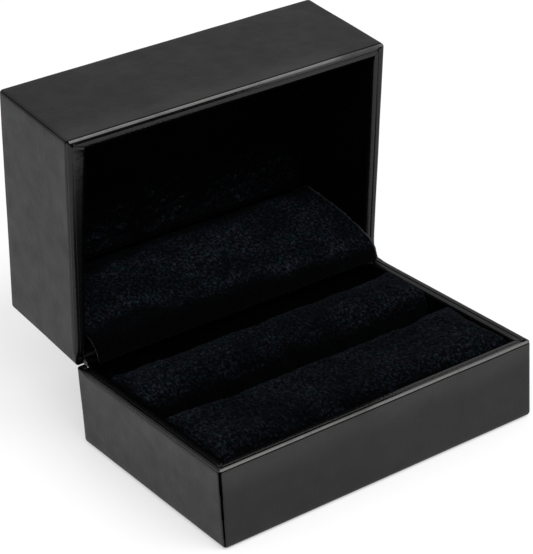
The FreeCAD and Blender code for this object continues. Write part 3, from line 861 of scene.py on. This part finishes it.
def roll_section(near, far, bottom, top, near_round, far_round, step):
    """The closed outline of a roll across its length, in Y and Z, with its outward directions."""
    outline = []

    def side(start, end, direction):
        length = math.dist(start, end)
        for share in stations(0, 1, step / length)[:-1]:
            outline.append(([s + (e - s) * share for s, e in zip(start, end)], direction))

    def turn(centre, radius, first, last):
        count = max(3, round(radius * abs(last - first) / step))
        for angle in np.linspace(first, last, count + 1)[:-1]:
            direction = (math.cos(angle), math.sin(angle))
            place = [centre[0] + radius * direction[0], centre[1] + radius * direction[1]]
            outline.append((place, direction))

    low = ROLL_FOOT
    turn((near + low, bottom + low), low, 1.5 * math.pi, math.pi)
    side((near, bottom + low), (near, top - near_round), (-1, 0))
    turn((near + near_round, top - near_round), near_round, math.pi, math.pi / 2)
    side((near + near_round, top), (far - far_round, top), (0, 1))
    turn((far - far_round, top - far_round), far_round, math.pi / 2, 0)
    side((far, top - far_round), (far, bottom + low), (1, 0))
    turn((far - low, bottom + low), low, 0, -math.pi / 2)
    side((far - low, bottom), (near + low, bottom), (0, -1))
    return outline


def roll_mesh(name, half, end, section, end_round):
    """Lofts a section along X with rounded ends, and closes each end with rings."""
    straight = stations(-(end - end_round), end - end_round, ROLL_STEP_ALONG)
    bend = np.linspace(0, math.pi / 2, ROLL_END_ROWS)[1:]
    places = [(x, 0.0) for x in straight]
    for turn in bend:
        reach = end - end_round + end_round * math.sin(turn)
        inset = end_round * (1 - math.cos(turn))
        places.append((reach, inset))
        places.insert(0, (-reach, inset))
    middle = np.mean([p for p, _ in section], axis=0)
    points = []
    for x, inset in places:
        for (y, z), (dy, dz) in section:
            shrink = inset if dz > -0.5 else 0.0  # the underside stays flat
            points.append((x, y - dy * shrink, z - dz * shrink))
    size = len(section)
    faces = grid_faces(len(places), size, closed_columns=True)
    for row, x in ((0, places[0][0]), (len(places) - 1, places[-1][0])):
        ring = [row * size + i for i in range(size)]
        edge = [points[i] for i in ring]
        for share in ROLL_RINGS:
            start = len(points)
            for _, y, z in edge:
                points.append((x, middle[0] + (y - middle[0]) * share, middle[1] + (z - middle[1]) * share))
            new = list(range(start, start + size))
            faces += [(ring[i], ring[(i + 1) % size], new[(i + 1) % size], new[i]) for i in range(size)]
            ring = new
        points.append((x, *middle))
        faces += [(ring[i], ring[(i + 1) % size], len(points) - 1) for i in range(size)]
    return make_piece(name, points, faces, half, ROLL_VELVET)


def swell(piece, bottom):
    """Blows the cover up like a stuffed one with a cloth simulation, held along its underside."""
    start = np.array([v.co for v in piece.data.vertices])
    sim = bpy.data.objects.new(piece.name + "_sim", piece.data.copy())
    bpy.context.scene.collection.objects.link(sim)
    sim.data.transform(Matrix.Scale(SIM_SCALE, 4))
    held = sim.vertex_groups.new(name="held")
    underside = [i for i, point in enumerate(start) if point[2] < (bottom + HELD_HEIGHT) * MM]
    held.add(underside, 1.0, "REPLACE")
    cloth = add_modifier(sim, "CLOTH")
    settings = cloth.settings
    settings.vertex_group_mass = "held"
    settings.use_pressure = True
    settings.uniform_pressure_force = SIM_PRESSURE
    settings.shrink_min = -SIM_SLACK
    settings.effector_weights.gravity = 0
    settings.tension_stiffness = VELVET_STIFFNESS
    settings.compression_stiffness = VELVET_STIFFNESS
    settings.bending_stiffness = 0.8
    settings.quality = 6
    cloth.collision_settings.use_collision = False
    scene = bpy.context.scene
    for number in range(1, SIM_FRAMES + 1):
        scene.frame_set(number)
    graph = bpy.context.evaluated_depsgraph_get()
    result = sim.evaluated_get(graph).data
    end = np.array([v.co for v in result.vertices]) / SIM_SCALE
    shift = end - start
    length = np.linalg.norm(shift, axis=1)
    shift *= np.minimum(1, SWELL_LIMIT * MM / np.maximum(length, 1e-9))[:, None]
    piece.data.vertices.foreach_set("co", (start + shift).ravel())
    piece.data.update()
    bpy.data.objects.remove(sim)
    scene.frame_set(1)


def keep_inside(piece, low, high):
    """Keeps every vertex inside a box given in the row frame, in millimetres."""
    points = np.array([v.co for v in piece.data.vertices])
    piece.data.vertices.foreach_set("co", np.clip(points, low * MM, high * MM).ravel())
    piece.data.update()


def make_roll(name, near_round, far_round, end_gap, seed):
    """A stuffed velvet roll. near_round and far_round soften its top edges, and end_gap keeps its ends
    clear of the linings."""
    node = name + "_cover"
    low, high = own_box(node, BASE)
    section = roll_section(
        low[1] + ROLL_SWELLING, high[1] - ROLL_SWELLING, low[2], high[2] - ROLL_SWELLING,
        near_round, far_round, ROLL_STEP,
    )
    piece = roll_mesh(name, BASE, high[0] - end_gap, section, ROLL_END_ROUND)
    swell(piece, low[2])
    room = np.array(ROLL_ROOM)
    keep_inside(piece, low - room * (1, 1, 0), high + room)
    add_modifier(piece, "SUBSURF", levels=2, render_levels=2)
    settle_modifiers(piece)
    roughen(piece, amount=0.30, reach=6.0, seed=seed + 1)
    roughen(piece, amount=0.22, reach=0.6, seed=seed)
    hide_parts(node, name + "_core")


# ---- hinge cover and lid pad


COVER_CURL = 2.4  # radius of the bend at the closed end
COVER_VELVET = 0.5
COVER_CARD_WALL = 0.4
CARD_PLAY = 0.1
COVER_STEP = 0.45
CUT_EDGE = 0.3  # the pile's pale ends show this far in from the cover's right end
COVER_LIT = ((11.0, 6.5), (25.0, 32.5))  # where the band the painted shade leaves lit starts and stops, at left and right
COVER_FADES = (3.0, 5.0)  # over which the painted shade fades in at each
PAD_BULGE = 3.9  # the lid pad stands out by this much just in front of the hinge cover
PAD_CREST = 16.0  # where in Y it stands out most,
PAD_EASE = -1.0  # where it has eased back towards the lid's front
PAD_TUCK = 18.2  # and where it is tucked in under the cover
PAD_EDGE = 0.6  # its height along its border,
PAD_SHOULDER = 1.6  # how far in it is fully high
PAD_SPREAD = 5.0  # and fully bulging
PAD_STEP = 0.55
PAD_SKIN = 0.4


def cover_line(foot):
    """The cover's outline in Y and Z in the lid's own frame, from its free edge to its foot."""
    low, high = own_box("hinge_cover_velvet", LID)
    step = COVER_STEP
    crest = low[1] + COVER_VELVET
    level = low[2] + COVER_VELVET
    free_edge, tuck, shoulder = (24.6, 32.2), (21.7, 30.7), (20.4, 27.4)
    slope, flat = (19.35, 21.5), (crest, 14.0)
    line = arc_points(free_edge, tuck, shoulder, step)
    line += arc_points(shoulder, slope, flat, step)[1:]
    line += [(crest, z) for z in stations(flat[1], level + COVER_CURL, step)[1:]]
    corner = COVER_CURL * (1 - math.cos(math.pi / 4))
    curl_middle = (crest + corner, level + corner)
    curl_end = (crest + COVER_CURL, level)
    line += arc_points((crest, level + COVER_CURL), curl_middle, curl_end, step)[1:]
    line += [(y, level) for y in stations(curl_end[0], foot, step)[1:]]
    return line


def arc_points(start, middle, end, step):
    """Points along the circle through three points."""
    (ax, ay), (bx, by), (cx, cy) = start, middle, end
    d = 2 * (ax * (by - cy) + bx * (cy - ay) + cx * (ay - by))
    ux = ((ax**2 + ay**2) * (by - cy) + (bx**2 + by**2) * (cy - ay) + (cx**2 + cy**2) * (ay - by)) / d
    uy = ((ax**2 + ay**2) * (cx - bx) + (bx**2 + by**2) * (ax - cx) + (cx**2 + cy**2) * (bx - ax)) / d
    radius = math.dist((ux, uy), start)
    first = math.atan2(ay - uy, ax - ux)
    sweep = (math.atan2(cy - uy, cx - ux) - first + math.pi) % (2 * math.pi) - math.pi
    count = max(3, round(abs(sweep) * radius / step))
    angles = [first + sweep * i / count for i in range(count + 1)]
    return [(ux + radius * math.cos(angle), uy + radius * math.sin(angle)) for angle in angles]


def ribbon(name, line, thickness, reach, step, material):
    """A sheet of even thickness on the left of a line in Y and Z, from -reach to reach along X."""
    line = np.array(line)
    tangent = np.gradient(line, axis=0)
    tangent /= np.linalg.norm(tangent, axis=1)[:, None]
    normal = np.stack([tangent[:, 1], -tangent[:, 0]], axis=1)
    offset = line + normal * thickness
    loop = list(line) + list(offset[::-1])
    xs = stations(-reach, reach, step)
    points = [(x, y, z) for x in xs for y, z in loop]
    size = len(loop)
    half_size = size // 2
    faces = grid_faces(len(xs), size, closed_columns=True)
    for row in (0, len(xs) - 1):
        start = row * size
        faces += [
            (start + i, start + i + 1, start + size - 2 - i, start + size - 1 - i)
            for i in range(half_size - 1)
        ]
    return make_piece(name, points, faces, LID, material)


def cover_shade(right, forward):
    """Painted shade on the cover, 0 to 1: dark at its crest and over its front edge, lit between. right and
    forward are millimetres from the middle and from the lid's closed end."""
    place = forward + ripple((right, forward, 0), amount=3.0, reach=9.0, seed=71.0)
    share = 0.5 + right / WIDTH
    near, far = [left_end + (right_end - left_end) * share for left_end, right_end in COVER_LIT]
    past_near = smooth_step((place - near) / COVER_FADES[0] + 0.5)
    before_far = smooth_step((far - place) / COVER_FADES[1] + 0.5)
    return 1 - past_near * before_far


def make_hinge_cover():
    low, high = own_box("hinge_cover_card", LID)
    line = cover_line(high[1] - CARD_PLAY)
    velvet_piece = ribbon("hinge_cover_pile", line, COVER_VELVET, high[0], COVER_STEP, PLUSH)
    roughen(velvet_piece, amount=0.20, reach=0.6, seed=11.0)
    edge = (high[0] - CUT_EDGE) * MM
    mark(velvet_piece, "cut", [float(v.co.x > edge) for v in velvet_piece.data.vertices])
    places = moved(np.array([v.co for v in velvet_piece.data.vertices]), LID.matrix.inverted()) / MM
    # Painted shade on the cover's crest and over its front edge.
    mark(velvet_piece, "shade", [cover_shade(-x, z) for x, _, z in places])
    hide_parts("hinge_cover_velvet")
    card_piece = ribbon("hinge_cover_board", line, -COVER_CARD_WALL, high[0] - CARD_PLAY, 1.5, COVER_CARD)
    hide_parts("hinge_cover_card")


def pad_height(y, border, low, high):
    """The pad's surface: tucked in all round, bulging in front of the hinge cover and easing back
    towards the lid's front."""
    edge = low + PAD_EDGE
    flat = edge + (high - edge) * smooth_step(border / PAD_SHOULDER)
    ease = min(max((y - PAD_EASE) / (PAD_CREST - PAD_EASE), 0), 1) ** 1.25
    tuck = smooth_step((PAD_TUCK - y) / (PAD_TUCK - PAD_CREST))
    return flat + PAD_BULGE * ease * tuck * smooth_step(border / PAD_SPREAD)


def make_lid_pad():
    low, high = own_box("lid_pad_cover", LID)
    xs = stations(low[0], high[0], PAD_STEP)
    ys = stations(low[1], high[1], PAD_STEP)
    points = []
    for x in xs:
        for y in ys:
            border = min(high[0] - abs(x), y - low[1], high[1] - y)
            sag = ripple((x, y, 0), amount=0.5, reach=14.0, seed=61.0)
            points.append((x, y, pad_height(y + sag, border, low[2], high[2])))
    faces = grid_faces(len(xs), len(ys))
    piece = make_piece("lid_pad_velvet", points, faces, LID, PAD_VELVET)
    add_modifier(piece, "SOLIDIFY", thickness=PAD_SKIN * MM, offset=-1.0)
    settle_modifiers(piece)
    roughen(piece, amount=0.12, reach=0.55, seed=17.0)
    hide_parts("lid_pad_cover")


def make_rear_lining():
    low, high = own_box("base_rear_lining", BASE)
    step = 0.5
    xs = stations(low[0], high[0], step)
    zs = stations(low[2], high[2], step)
    points = [(x, low[1], z) for x in xs for z in zs]
    piece = make_piece("base_rear_pile", points, grid_faces(len(xs), len(zs)), BASE, LINING)
    thickness = (high[1] - low[1]) * MM
    add_modifier(piece, "SOLIDIFY", thickness=thickness, offset=0.0)
    settle_modifiers(piece)
    for vertex in piece.data.vertices:
        vertex.co.y += thickness / 2
    roughen(piece, amount=0.05, reach=0.5, seed=23.0)
    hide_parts("base_rear_lining")


# ---- CAD nodes that keep their shape


def dress(material, *names):
    for name in names:
        node = frame["nodes"][name]
        node.data.materials.clear()
        node.data.materials.append(material)


def dress_cad_nodes():
    dress(PLASTIC, "base_shell", "lid_shell")
    dress(BLACK_STEEL, "hinge_base_leaf", "hinge_lid_leaf", "hinge_snap_spring", "hinge_pin")
    dress(BRIGHT_STEEL, "base_rivets", "lid_rivets")
    dress(CARD, "insert_board", "lid_pad_board", "lid_pad_foam")
    dress(FOOT_PAPER, "base_foot_sheet")


# ---- stage, light and camera


FLOOR_REACH = 4.0  # metres
WORLD_STRENGTH = 0.62
KEY_PLACE = (0, -0.62, 0.84)  # in metres, like its target and its size
KEY_TARGET = (0, 0.02, 0.02)
KEY_SIZE = (1.5, 0.35)
KEY_POWER = 8.0
CAMERA_PLACE = (-219.57, -317.49, 232.77)
CAMERA_ANGLES = (-33.651, 26.863, -3.571)  # azimuth, elevation and roll, in degrees
CAMERA_LENS = 135.68


def make_floor():
    mesh = bpy.data.meshes.new("floor")
    corners = [(x * FLOOR_REACH, y * FLOOR_REACH, 0) for x, y in ((-1, -1), (1, -1), (1, 1), (-1, 1))]
    mesh.from_pydata(corners, [], [(0, 1, 2, 3)])
    mesh.materials.append(floor_paint())
    floor = bpy.data.objects.new("floor", mesh)
    bpy.context.scene.collection.objects.link(floor)


def make_light():
    """A white surround and one lamp above the box's front."""
    world = bpy.data.worlds.new("studio")
    bpy.context.scene.world = world
    world.use_nodes = True
    background = world.node_tree.nodes["Background"]
    background.inputs["Color"].default_value = (1, 1, 1, 1)
    background.inputs["Strength"].default_value = WORLD_STRENGTH
    lamp = bpy.data.lights.new("key", "AREA")
    lamp.shape = "RECTANGLE"
    lamp.size, lamp.size_y = KEY_SIZE
    lamp.energy = KEY_POWER
    key = bpy.data.objects.new("key", lamp)
    bpy.context.scene.collection.objects.link(key)
    key.location = KEY_PLACE
    key.rotation_euler = (Vector(KEY_TARGET) - Vector(KEY_PLACE)).to_track_quat("-Z", "Y").to_euler()


def make_camera():
    """Placed by the corners of the box: 34 degrees to its left, 27 above."""
    azimuth, elevation, roll = (math.radians(angle) for angle in CAMERA_ANGLES)
    level = math.cos(elevation)
    back = Vector((math.sin(azimuth) * level, -math.cos(azimuth) * level, math.sin(elevation)))
    right = Vector((0, 0, 1)).cross(back).normalized()
    up = back.cross(right)
    turned_right = right * math.cos(roll) + up * math.sin(roll)
    turned_up = up * math.cos(roll) - right * math.sin(roll)
    data = bpy.data.cameras.new("camera")
    data.lens = CAMERA_LENS
    data.sensor_width = 36.0
    camera = bpy.data.objects.new("camera", data)
    matrix = Matrix((turned_right, turned_up, back)).transposed().to_4x4()
    matrix.translation = Vector(CAMERA_PLACE) * MM
    camera.matrix_world = matrix
    bpy.context.scene.collection.objects.link(camera)
    bpy.context.scene.camera = camera


def main():
    bpy.context.scene.view_settings.view_transform = "Standard"
    make_camera()
    make_wrap(BASE, start=WRAP_LOW[2], seed=2.0)
    make_wrap(LID, start=0.0, seed=5.0)
    for half in (BASE, LID):
        make_rim_frame(half)
        make_lining(half)
    make_rear_lining()
    make_roll("front_roll", near_round=1.8, far_round=1.8, end_gap=0.15, seed=31.0)
    make_roll("middle_roll", near_round=3.0, far_round=2.2, end_gap=0.6, seed=37.0)
    make_hinge_cover()
    make_lid_pad()
    dress_cad_nodes()
    make_floor()
    make_light()


main()
